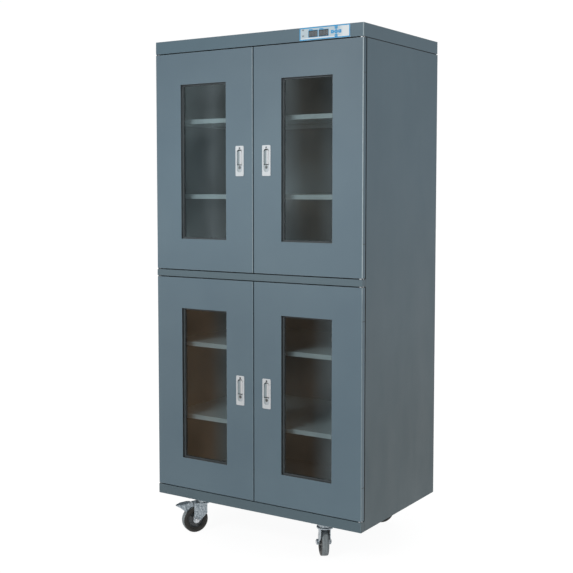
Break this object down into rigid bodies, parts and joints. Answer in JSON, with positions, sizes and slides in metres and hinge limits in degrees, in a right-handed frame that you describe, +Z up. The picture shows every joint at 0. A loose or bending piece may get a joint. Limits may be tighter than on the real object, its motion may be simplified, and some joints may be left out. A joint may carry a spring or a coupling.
{
  "type": "electronic dry cabinet",
  "caption": "Tall steel cabinet with windowed swing doors, flush pull locks, inner shelves, a humidity control panel on its top fascia and swivel castors.",
  "frame": {"origin": "on the floor under the middle of the body", "axes": "+Z up, the doors face -Y, +X to the right of a person facing the doors"},
  "size_m": [0.9, 0.6763, 1.89],
  "materials": {
    "body_paint": "satin blue-grey powder coat",
    "door_paint": "satin blue-grey powder coat",
    "inner_paint": "satin blue-grey powder coat inside the chamber",
    "shelf_paint": "satin blue-grey powder coat",
    "window_glass": "clear tempered glass",
    "window_gasket": "matt black",
    "door_seal": "matt dark grey",
    "lock_case": "satin nickel plate",
    "lock_lever": "bright nickel plate",
    "lock_core": "nickel plate",
    "zinc_plate": "bright zinc plate",
    "castor_zinc": "bright zinc plate",
    "wheel_rubber": "dark grey rubber tyre on a grey hub",
    "panel_membrane": "pale grey membrane with a blue border",
    "key_blue": "blue",
    "board_green": "green circuit board and dark displays",
    "unit_plastic": "off-white",
    "shutter_plastic": "light grey",
    "desiccant": "pale beige granules",
    "sensor_plastic": "off-white",
    "inlet_black": "black",
    "switch_red": "red"
  },
  "bodies": {
    "cabinet": {"side_panel_left": "body_paint", "side_panel_right": "body_paint", "back_panel": "body_paint", "top_cover": "body_paint", "chamber_ceiling": "inner_paint", "base_tray": "body_paint", "front_frame": "body_paint", "door_seals": "door_seal", "shelves": "shelf_paint", "shelf_uprights": "inner_paint", "shelf_clips": "zinc_plate", "hinge_pins": "zinc_plate", "castor_plates": "castor_zinc", "control_panel": "panel_membrane", "control_board": "board_green", "drying_unit_case": "unit_plastic", "desiccant_block": "desiccant", "humidity_sensor": "sensor_plastic", "power_inlet": "inlet_black"},
    "door_ul": {"door_ul_panel": "door_paint", "door_ul_glass": "window_glass", "door_ul_gasket": "window_gasket", "lock_ul_case": "lock_case"},
    "lever_ul": {"lock_ul_lever": "lock_lever"},
    "core_ul": {"lock_ul_core": "lock_core"},
    "door_ur": {"door_ur_panel": "door_paint", "door_ur_glass": "window_glass", "door_ur_gasket": "window_gasket", "lock_ur_case": "lock_case"},
    "lever_ur": {"lock_ur_lever": "lock_lever"},
    "core_ur": {"lock_ur_core": "lock_core"},
    "door_ll": {"door_ll_panel": "door_paint", "door_ll_glass": "window_glass", "door_ll_gasket": "window_gasket", "lock_ll_case": "lock_case"},
    "lever_ll": {"lock_ll_lever": "lock_lever"},
    "core_ll": {"lock_ll_core": "lock_core"},
    "door_lr": {"door_lr_panel": "door_paint", "door_lr_glass": "window_glass", "door_lr_gasket": "window_gasket", "lock_lr_case": "lock_case"},
    "lever_lr": {"lock_lr_lever": "lock_lever"},
    "core_lr": {"lock_lr_core": "lock_core"},
    "castor_fl": {"castor_fl_fork": "castor_zinc"},
    "wheel_fl": {"castor_fl_wheel": "wheel_rubber"},
    "pedal_fl": {"castor_fl_pedal": "castor_zinc"},
    "castor_fr": {"castor_fr_fork": "castor_zinc"},
    "wheel_fr": {"castor_fr_wheel": "wheel_rubber"},
    "pedal_fr": {"castor_fr_pedal": "castor_zinc"},
    "castor_bl": {"castor_bl_fork": "castor_zinc"},
    "wheel_bl": {"castor_bl_wheel": "wheel_rubber"},
    "castor_br": {"castor_br_fork": "castor_zinc"},
    "wheel_br": {"castor_br_wheel": "wheel_rubber"},
    "key_up": {"key_up": "key_blue"},
    "key_down": {"key_down": "key_blue"},
    "key_left": {"key_left": "key_blue"},
    "key_right": {"key_right": "key_blue"},
    "key_set": {"key_set": "key_blue"},
    "shutter": {"drying_unit_shutter": "shutter_plastic"},
    "switch": {"power_switch": "switch_red"}
  },
  "joints": [
    {"name": "door_ul_hinge", "type": "hinge", "parent": "cabinet", "child": "door_ul", "pos_m": [-0.44, -0.29, 1.43175], "axis": [0, 0, -1], "range_deg": [0, 110]},
    {"name": "lever_ul_pull", "type": "hinge", "parent": "door_ul", "child": "lever_ul", "pos_m": [-0.0585, -0.296, 1.46575], "axis": [-1, 0, 0], "range_deg": [0, 50]},
    {"name": "core_ul_turn", "type": "hinge", "parent": "door_ul", "child": "core_ul", "pos_m": [-0.0585, -0.29, 1.40775], "axis": [0, -1, 0], "range_deg": [0, 90]},
    {"name": "door_ur_hinge", "type": "hinge", "parent": "cabinet", "child": "door_ur", "pos_m": [0.44, -0.29, 1.43175], "axis": [0, 0, 1], "range_deg": [0, 110]},
    {"name": "lever_ur_pull", "type": "hinge", "parent": "door_ur", "child": "lever_ur", "pos_m": [0.0585, -0.296, 1.46575], "axis": [-1, 0, 0], "range_deg": [0, 50]},
    {"name": "core_ur_turn", "type": "hinge", "parent": "door_ur", "child": "core_ur", "pos_m": [0.0585, -0.29, 1.40775], "axis": [0, 1, 0], "range_deg": [0, 90]},
    {"name": "door_ll_hinge", "type": "hinge", "parent": "cabinet", "child": "door_ll", "pos_m": [-0.44, -0.29, 0.58325], "axis": [0, 0, -1], "range_deg": [0, 110]},
    {"name": "lever_ll_pull", "type": "hinge", "parent": "door_ll", "child": "lever_ll", "pos_m": [-0.0585, -0.296, 0.61725], "axis": [-1, 0, 0], "range_deg": [0, 50]},
    {"name": "core_ll_turn", "type": "hinge", "parent": "door_ll", "child": "core_ll", "pos_m": [-0.0585, -0.29, 0.55925], "axis": [0, -1, 0], "range_deg": [0, 90]},
    {"name": "door_lr_hinge", "type": "hinge", "parent": "cabinet", "child": "door_lr", "pos_m": [0.44, -0.29, 0.58325], "axis": [0, 0, 1], "range_deg": [0, 110]},
    {"name": "lever_lr_pull", "type": "hinge", "parent": "door_lr", "child": "lever_lr", "pos_m": [0.0585, -0.296, 0.61725], "axis": [-1, 0, 0], "range_deg": [0, 50]},
    {"name": "core_lr_turn", "type": "hinge", "parent": "door_lr", "child": "core_lr", "pos_m": [0.0585, -0.29, 0.55925], "axis": [0, 1, 0], "range_deg": [0, 90]},
    {"name": "castor_fl_swivel", "type": "hinge", "parent": "cabinet", "child": "castor_fl", "pos_m": [-0.277, -0.252, 0.12], "axis": [0, 0, 1], "continuous": true},
    {"name": "wheel_fl_roll", "type": "hinge", "parent": "castor_fl", "child": "wheel_fl", "pos_m": [-0.29237, -0.27659, 0.05], "axis": [0.848, -0.5299, 0], "continuous": true},
    {"name": "pedal_fl_press", "type": "hinge", "parent": "castor_fl", "child": "pedal_fl", "pos_m": [-0.28972, -0.27235, 0.107], "axis": [0.848, -0.5299, 0], "range_deg": [0, 5]},
    {"name": "castor_fr_swivel", "type": "hinge", "parent": "cabinet", "child": "castor_fr", "pos_m": [0.277, -0.252, 0.12], "axis": [0, 0, 1], "continuous": true},
    {"name": "wheel_fr_roll", "type": "hinge", "parent": "castor_fr", "child": "wheel_fr", "pos_m": [0.25875, -0.22946, 0.05], "axis": [-0.7771, -0.6293, 0], "continuous": true},
    {"name": "pedal_fr_press", "type": "hinge", "parent": "castor_fr", "child": "pedal_fr", "pos_m": [0.2619, -0.23335, 0.107], "axis": [-0.7771, -0.6293, 0], "range_deg": [0, 5]},
    {"name": "castor_bl_swivel", "type": "hinge", "parent": "cabinet", "child": "castor_bl", "pos_m": [-0.277, 0.252, 0.12], "axis": [0, 0, 1], "continuous": true},
    {"name": "wheel_bl_roll", "type": "hinge", "parent": "castor_bl", "child": "wheel_bl", "pos_m": [-0.28204, 0.28056, 0.05], "axis": [-0.9848, -0.1736, 0], "continuous": true},
    {"name": "castor_br_swivel", "type": "hinge", "parent": "cabinet", "child": "castor_br", "pos_m": [0.277, 0.252, 0.12], "axis": [0, 0, 1], "continuous": true},
    {"name": "wheel_br_roll", "type": "hinge", "parent": "castor_br", "child": "wheel_br", "pos_m": [0.25836, 0.22978, 0.05], "axis": [0.766, -0.6428, 0], "continuous": true},
    {"name": "key_up_press", "type": "slide", "parent": "cabinet", "child": "key_up", "axis": [0, 1, 0], "range_m": [0, 0.0008], "stiffness_N_per_m": 600},
    {"name": "key_down_press", "type": "slide", "parent": "cabinet", "child": "key_down", "axis": [0, 1, 0], "range_m": [0, 0.0008], "stiffness_N_per_m": 600},
    {"name": "key_left_press", "type": "slide", "parent": "cabinet", "child": "key_left", "axis": [0, 1, 0], "range_m": [0, 0.0008], "stiffness_N_per_m": 600},
    {"name": "key_right_press", "type": "slide", "parent": "cabinet", "child": "key_right", "axis": [0, 1, 0], "range_m": [0, 0.0008], "stiffness_N_per_m": 600},
    {"name": "key_set_press", "type": "slide", "parent": "cabinet", "child": "key_set", "axis": [0, 1, 0], "range_m": [0, 0.0008], "stiffness_N_per_m": 600},
    {"name": "shutter_flap", "type": "hinge", "parent": "cabinet", "child": "shutter", "pos_m": [0.22, 0.2025, 1.209], "axis": [-1, 0, 0], "range_deg": [0, 60]},
    {"name": "power_rocker", "type": "hinge", "parent": "cabinet", "child": "switch", "pos_m": [-0.2855, 0.298, 1.867], "axis": [1, 0, 0], "range_deg": [0, 20]}
  ]
}
